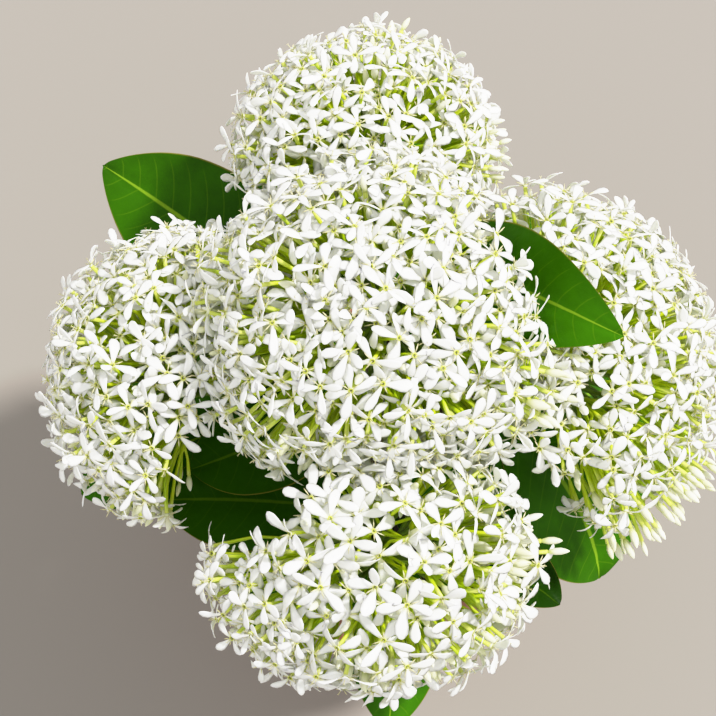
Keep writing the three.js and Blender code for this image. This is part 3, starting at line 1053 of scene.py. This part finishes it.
def build_leaf(node):
    """A blade with a midrib and side veins on a round stalk, along the CAD leaf."""
    middle, left, right = leaf_frames(node)
    shares = np.linspace(0, 1, LEAF_STATIONS + 2)[1:-1]
    centre = smooth_line(middle, shares)
    to_left = smooth_line(left - middle, shares)
    to_right = smooth_line(right - middle, shares)
    along = unit(np.gradient(centre, axis=0))
    normal = unit(np.cross(along, to_left - to_right))
    s = 0.5 - 0.5 * np.cos(np.pi * shares)
    # the CAD blade ends bluntly, the leaf in a short point
    point = np.clip((1 - s) / TIP_SHARE, 0, 1)[:, None]
    point = (point * (2 - point)) ** LEAF_POINTS.get(node, LEAF_POINT)
    to_left, to_right = to_left * point, to_right * point
    blade = np.clip((s - PETIOLE_SHARE * 0.6) / (PETIOLE_SHARE * 0.9), 0, 1)[:, None]
    blade = blade * blade * (3 - 2 * blade)

    # t goes from 1 at the left edge to -1 at the right edge
    t = np.cos(np.pi * np.arange(LEAF_ACROSS + 1) / LEAF_ACROSS)
    t = np.sign(t) * np.abs(t) ** 0.85
    phase = py_random.uniform(0, 6.28)
    half = np.linalg.norm(to_left - to_right, axis=1)[:, None] / 2
    length = np.linalg.norm(np.diff(centre, axis=0), axis=1).sum()
    bow = half * (0.50 * np.abs(t) + 0.28 * np.abs(t) ** 3)
    order = (s[:, None] * length - bow) / VEIN_SPACING
    pillow = (0.5 - np.abs((order % 1) - 0.5)) * 2
    rise = 0.42 * (pillow**0.6) * (1 - t**2) * np.minimum(1, half / 12)
    groove = -0.55 * np.exp(-((t * half / 0.9) ** 2))
    ripple = 0.05 * half * np.abs(t) ** 3 * np.sin(11 * s[:, None] + phase + 1.5 * np.sign(t))
    upper = blade * (rise + groove + ripple)
    ridge = 0.95 * np.exp(-((t * half / 1.0) ** 2)) * (1 - 0.75 * s[:, None])
    side_ridge = 0.16 * (1 - pillow) * (1 - t**2)
    thick_blade = 0.12 + 0.22 * (1 - t**2) + ridge + side_ridge
    round_stem = PETIOLE_RADIUS * np.sqrt(np.clip(1 - t**2, 0, 1))
    thick = blade * thick_blade + (1 - blade) * round_stem
    top = upper + (1 - blade) * round_stem * 0.5

    on_left = np.where(t >= 0, 1, 0)
    base = centre[:, None] + to_left[:, None] * (t * on_left)[:, None]
    base = base - to_right[:, None] * (t * (1 - on_left))[:, None]
    above = base + normal[:, None] * top[..., None]
    below = base + normal[:, None] * (top - thick)[..., None]
    lower = below[:, 1:-1][:, ::-1]
    sides = above.shape[1] + lower.shape[1]
    points = np.concatenate([above, lower], axis=1).reshape(-1, 3)
    points = np.concatenate([points, middle[:1], middle[-1:]])
    is_upper = np.repeat([1.0, 0.0], [len(t), len(t) - 2])
    # a listed leaf's tone is its painted light and shade, and the others get a random tone
    tone = LEAF_PAINTED_LIGHT_AND_SHADE.get(node, py_random.uniform(0.2, 0.6))
    pool = Pool()
    pool.add(
        points,
        ring_faces(LEAF_STATIONS, sides, "poles"),
        tone=np.full(len(points), tone),
        across=np.append(over_and_under(np.broadcast_to(t, order.shape)), [0, 0]),
        order=np.append(over_and_under(order), [0, length / VEIN_SPACING]),
        upper=np.append(np.tile(is_upper, LEAF_STATIONS), [1, 1]),
    )
    # the leaf's foot on the bark
    line = shoot_line(node.split("_")[1])
    bark = line[np.argmin(np.linalg.norm(line - middle[0], axis=1))]
    foot = np.stack([bark + (middle[0] - bark) * 0.2, middle[0], centre[4]])
    rounds, faces = sweep(foot[None], [2.1, 1.35, 0.7], 10)
    pool.add_many(rounds, faces, tone=tone, across=0.3, order=0.5, upper=1.0)
    pool.piece(f"{node}_blade", LEAF, "leaf_green", node)


# ---- stems ----

SHOOT_STARTS = {"central": 152, "left": 134, "right": 140, "back": 145, "front": 138}
SHOOT_RISE = 0.75  # how steeply a shoot leaves the trunk
SHOOT_INSIDE = 12.0  # the central shoot's length inside the trunk
STALK_RADII = [2.1, 1.7, 1.5, 1.45, 1.4, 1.45, 1.6, 1.9]


def stalk_line(name, rings):
    """The middle of a flower stalk, from its foot to its top."""
    points = cad_points(f"flower_stalk_{name}")
    z = np.linspace(points[:, 2].min(), points[:, 2].max(), rings)
    x = np.polyval(np.polyfit(points[:, 2], points[:, 0], 1), z)
    y = np.polyval(np.polyfit(points[:, 2], points[:, 1], 1), z)
    return np.stack([x, y, z], axis=1)


def shoot_line(name, rings=80):
    """The middle of a shoot, from inside the trunk to the foot of its flower stalk."""
    lean = unit(HEADS[name]["lean"])
    start, end = np.array([0.0, 0.0, SHOOT_STARTS[name]]), stalk_line(name, 2)[0]
    if name == "central":
        leave, reach = np.array([0.0, 0.0, 1.0]), (end - start)[2] / 3
    else:
        leave = unit(np.append(unit(end[:2]), SHOOT_RISE))
        reach = np.linalg.norm(end - start) / 3
    t = np.linspace(0, 1, rings)[:, None]
    above, below = start + leave * reach, end - lean * reach
    line = (1 - t) ** 3 * start + 3 * (1 - t) ** 2 * t * above
    line = line + 3 * (1 - t) * t**2 * below + t**3 * end
    if name == "central":
        down = np.linspace(SHOOT_INSIDE, 0, 12, endpoint=False)[:, None]
        line = np.concatenate([start - down * leave, line])
    return line


def shoot_radii(name, line):
    """The shoot's thickness: wide at the trunk, with a knot at each pair of leaves."""
    run = np.linalg.norm(np.diff(line, axis=0, prepend=line[:1]), axis=1).cumsum()
    width = 2.7 - 0.65 * run / run[-1]
    if name == "central":
        width = width + 3.1 / (1 + np.exp((run - SHOOT_INSIDE - 3) / 2.6))
    else:
        width = width + 2.3 / (1 + np.exp((run - 8) / 2.2))
    for node in LEAF_NODES:
        if node.startswith(f"leaf_{name}_"):
            foot = leaf_frames(node)[0][0]
            knot = run[np.argmin(np.linalg.norm(line - foot, axis=1))]
            width = np.maximum(width, (width + 0.55 * np.exp(-(((run - knot) / 1.9) ** 2))))
    return width


def build_stem(name, line, width, material, slot, sides, node):
    """A round stem along the line, slightly uneven."""
    points, faces = sweep(line[None], width, sides)
    points = points[0]
    for i, point in enumerate(points):
        middle = line[i // sides]
        place = Vector(point)
        rough = 1 + 0.05 * noise.noise(place * 0.45) + 0.04 * noise.noise(place * 1.3)
        points[i] = middle + (point - middle) * rough
    pool = Pool()
    pool.add(points, faces, along=np.repeat(np.linspace(0, 1, len(line)), sides))
    pool.piece(name, material, slot, node)


for head_name in HEADS:
    line = shoot_line(head_name)
    width = shoot_radii(head_name, line)
    node = f"shoot_{head_name}"
    build_stem(f"stem_{head_name}", line, width, YOUNG_BARK, "young_bark", 14, node)
    line = stalk_line(head_name, 40)
    width = np.interp(np.linspace(0, 7, 40), range(8), STALK_RADII)
    node = f"flower_stalk_{head_name}"
    build_stem(f"stalk_{head_name}", line, width, STALK, "stalk_green", 12, node)

for leaf_node in LEAF_NODES:
    build_leaf(leaf_node)


def build_trunk():
    """A furrowed stem, wider at the soil, with a round top."""
    low, high = (corner[2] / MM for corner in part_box("trunk"))
    rings, sides = 64, 32
    radius = float(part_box("trunk")[1][0]) / MM
    z = np.linspace(low, high, rings)
    shares = (z - low) / (high - low)
    flare = 1 + 0.10 * np.exp(-((z - 112) / 8) ** 2) - 0.10 * shares
    top = np.sqrt(np.clip(1 - ((shares - 0.94) / 0.065).clip(0, 0.97) ** 2, 0.02, 1))

    def point(i, x, y):
        seed = Vector((x * 1.6, y * 1.6, z[i] * 0.035))
        furrow = 1 + 0.07 * noise.noise(seed * 1.7) + 0.035 * noise.noise(seed * 6)
        r = radius * 0.97 * flare[i] * furrow * top[i]
        return r * x, r * y, z[i]

    pool = Pool()
    pool.add(np.array(turned(range(rings), sides, point)), ring_faces(rings, sides))
    pool.piece("trunk_bark", BARK, "bark", "trunk")


build_trunk()


# ---- pot and soil ----

POT_PROFILE = [  # outside from the foot up, over the rim and down the inside
    (8.0, 0.0), (9.5, 0.0), (42.8, 0.0), (44.4, 0.7), (45.3, 2.4), (47.6, 16.0),
    (51.0, 40.0), (54.4, 64.0), (57.6, 86.0), (59.3, 92.4), (60.8, 94.0), (66.0, 94.6),
    (67.9, 95.8), (68.6, 98.0), (69.2, 106.0), (69.8, 114.0), (69.9, 118.4), (69.0, 120.9),
    (67.0, 121.9), (64.0, 122.0), (61.9, 121.2), (60.3, 119.2), (59.7, 116.0), (58.0, 106.5),
    (52.5, 76.0), (46.5, 42.0), (40.3, 11.0), (38.6, 8.8), (36.5, 8.0), (9.5, 8.0),
    (8.0, 7.2), (7.6, 4.0),
]
POT_RADIUS = 70.0
POT_STEP = 4  # two rings are less than twice this far apart
ROUND_SIDES = 120
SOIL_RINGS = 44
SOIL_HOLE = 1.2
SOIL_RADIUS = 57.3
SOIL_TOP = 106.2
SOIL_HILL = 3.2  # how much higher the soil is at the trunk
CRUMBS = 420
CRUMB_SIZES = [0.6, 0.8, 1.0, 1.3, 1.8, 2.4]


def build_pot():
    corners = np.array(POT_PROFILE)
    fine = []
    for a, b in zip(corners, np.roll(corners, -1, axis=0)):
        steps = max(1, int(np.linalg.norm(b - a) / POT_STEP))
        fine.extend(a + (b - a) * k / steps for k in range(steps))
    fine = np.array(fine)
    # edge marks the bends of the rim and the foot, which are worn
    closed = np.concatenate([fine[-1:], fine, fine[:1]])
    bend = unit(closed[2:] - closed[1:-1]) - unit(closed[1:-1] - closed[:-2])
    edge = np.clip(np.linalg.norm(bend, axis=1) * 1.6, 0, 1)
    edge[(fine[:, 1] < 93) & (fine[:, 1] > 6)] = 0

    def point(corner, x, y):
        r, z = corner
        seed = Vector((x, y, z * 0.02))
        wobble = 0.16 * noise.noise(seed * 1.4) + 0.10 * noise.noise(Vector((0, 0, z * 0.22)))
        r = min(r + wobble, POT_RADIUS)
        return r * x, r * y, z

    points = np.array(turned(fine, ROUND_SIDES, point))
    faces = ring_faces(len(fine), ROUND_SIDES, "joined")
    pool = Pool()
    pool.add(points, faces, edge=np.repeat(edge, ROUND_SIDES))
    pool.piece("clay_pot", CLAY, "clay", "pot")


def soil_height(x, y):
    r = math.hypot(x, y)
    place = Vector((x, y, 0))
    lumps = 0.9 * noise.noise(place * 0.11) + 0.6 * noise.noise(place * 0.33)
    grains = 0.35 * noise.noise(place * 0.9)
    return SOIL_TOP + SOIL_HILL * max(0.0, 1 - r / 57) + lumps + grains


def build_soil():
    """The uneven top, and a plain side and bottom inside the pot."""
    wide = SOIL_RADIUS - SOIL_HOLE
    radii = [SOIL_HOLE + wide * i / (SOIL_RINGS - 1) for i in range(SOIL_RINGS)]
    below = ((SOIL_RADIUS - 0.6, 103.0), (39.5, 12.0), (36.0, 8.6))
    points = turned(radii, ROUND_SIDES, lambda r, x, y: (r * x, r * y, soil_height(r * x, r * y)))
    points += turned(below, ROUND_SIDES, lambda side, x, y: (side[0] * x, side[0] * y, side[1]))
    points.append((0, 0, soil_height(0, 0)))
    points.append((0, 0, below[-1][1]))
    faces = ring_faces(SOIL_RINGS + len(below), ROUND_SIDES, "poles")
    pool = Pool()
    pool.add(np.array(points), [face[::-1] for face in faces])
    pool.piece("potting_soil", EARTH, "earth", "soil")


def icosahedron():
    """Twelve corners on the unit ball, and the twenty faces between near ones."""
    golden = (1 + math.sqrt(5)) / 2
    corners = []
    for a in (-1, 1):
        for b in (-golden, golden):
            corners.extend([(a, b, 0), (0, a, b), (b, 0, a)])
    corners = unit(corners)
    faces = []
    for i, j, k in itertools.combinations(range(12), 3):
        a, b, c = corners[[i, j, k]]
        if max(np.linalg.norm(side) for side in (a - c, b - a, c - b)) < 1.1:
            outward = np.dot(np.cross(b - a, c - a), a) > 0
            faces.append([i, j, k] if outward else [i, k, j])
    return corners, faces


def build_crumbs():
    """Loose crumbs of soil and bark on the soil."""
    corners, faces = icosahedron()
    pool = Pool()
    for _ in range(CRUMBS):
        r = 8 + 48 * math.sqrt(py_random.random())
        a = py_random.uniform(0, 2 * math.pi)
        x, y = r * math.cos(a), r * math.sin(a)
        size = py_random.choice(CRUMB_SIZES)
        stretch = np.array([py_random.uniform(0.7, 1.4) for _ in range(3)])
        shake = np.array([[py_random.uniform(0.8, 1.2)] for _ in range(12)])
        place = np.array((x, y, soil_height(x, y) + size * 0.25))
        pool.add(corners * shake * stretch * size + place, faces)
    pool.piece("soil_crumbs", EARTH, "earth", "soil")


build_pot()
build_soil()
build_crumbs()
